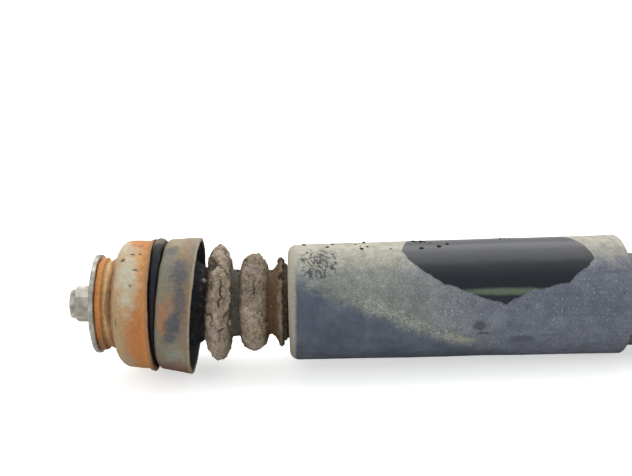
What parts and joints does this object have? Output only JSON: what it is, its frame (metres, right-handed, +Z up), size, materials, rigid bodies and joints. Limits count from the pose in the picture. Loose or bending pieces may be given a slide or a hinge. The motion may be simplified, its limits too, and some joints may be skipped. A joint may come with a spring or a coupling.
{
  "type": "rear damper",
  "caption": "Twin-tube telescopic rear damper with a pin-type top mount, foam bump stop, dust tube and a rubber-bushed lower eye.",
  "frame": {"origin": "centre of the lower eye, midway along its sleeve", "axes": "+X along the damper, from the top mount towards the lower eye; +Y along the bore of the lower eye; +Z up, with the damper lying on its side"},
  "size_m": [0.5573, 0.073, 0.0731],
  "materials": {
    "zinc_steel": "dull zinc plating, grey and dusty",
    "rusty_steel": "pressed steel under orange rust, with patches of grey zinc",
    "weathered_steel": "pressed steel, grey-brown, stained by rust",
    "mount_rubber": "black moulded rubber",
    "turned_steel": "turned steel, dull",
    "bump_foam": "crumbling microcellular foam, grey-brown with dust",
    "dust_plastic": "moulded blue-black plastic, dusty, cream at its upper rim",
    "black_paint": "black paint over steel tube, dusty",
    "bush_rubber": "black bonded rubber",
    "rod_chrome": "hard chrome, ground",
    "drawn_steel": "cold-drawn steel, oiled",
    "sintered_iron": "sintered iron, fine grain",
    "valve_steel": "bright steel",
    "band_plastic": "bronze-filled fluoropolymer",
    "guide_bronze": "sintered bronze",
    "seal_rubber": "nitrile rubber"
  },
  "bodies": {
    "mount": {"top_nut": "zinc_steel", "top_washer": "zinc_steel", "spigot_collar": "rusty_steel", "upper_cup": "rusty_steel", "mount_rubber": "mount_rubber", "seal_ring": "mount_rubber", "inner_sleeve": "turned_steel", "lower_cup": "weathered_steel", "lower_washer": "turned_steel", "bump_stop": "bump_foam", "piston_rod": "rod_chrome", "rebound_stop": "seal_rubber", "rebound_plate": "valve_steel", "compression_discs": "valve_steel", "piston": "sintered_iron", "piston_band": "band_plastic", "rebound_discs": "valve_steel", "piston_nut": "valve_steel"},
    "dust_tube": {"dust_tube": "dust_plastic"},
    "bump_cap": {"bump_cap": "black_paint"},
    "cylinder": {"reserve_tube": "black_paint", "seal_washer": "valve_steel", "rod_seal": "seal_rubber", "rod_guide": "sintered_iron", "guide_bush": "guide_bronze", "pressure_tube": "drawn_steel", "base_valve_body": "sintered_iron", "base_valve_plate": "valve_steel", "base_valve_rivet": "valve_steel", "base_cap": "black_paint", "eye_ring": "black_paint", "eye_bush": "bush_rubber"},
    "eye_sleeve": {"eye_sleeve": "turned_steel"}
  },
  "joints": [
    {"name": "bumper_crush", "type": "slide", "parent": "mount", "child": "dust_tube", "axis": [-1, 0, 0], "range_m": [0, 0.03], "stiffness_N_per_m": 25000, "deforming": ["bump_stop"]},
    {"name": "stroke", "type": "slide", "parent": "dust_tube", "child": "bump_cap", "axis": [-1, 0, 0], "range_m": [0, 0.125]},
    {"name": "cylinder_turn", "type": "hinge", "parent": "bump_cap", "child": "cylinder", "pos_m": [0, 0, 0], "axis": [1, 0, 0], "continuous": true},
    {"name": "lower_bush_twist", "type": "hinge", "parent": "cylinder", "child": "eye_sleeve", "pos_m": [0, 0, 0], "axis": [0, 1, 0], "range_deg": [-15, 15], "stiffness_Nm_per_rad": 40}
  ]
}
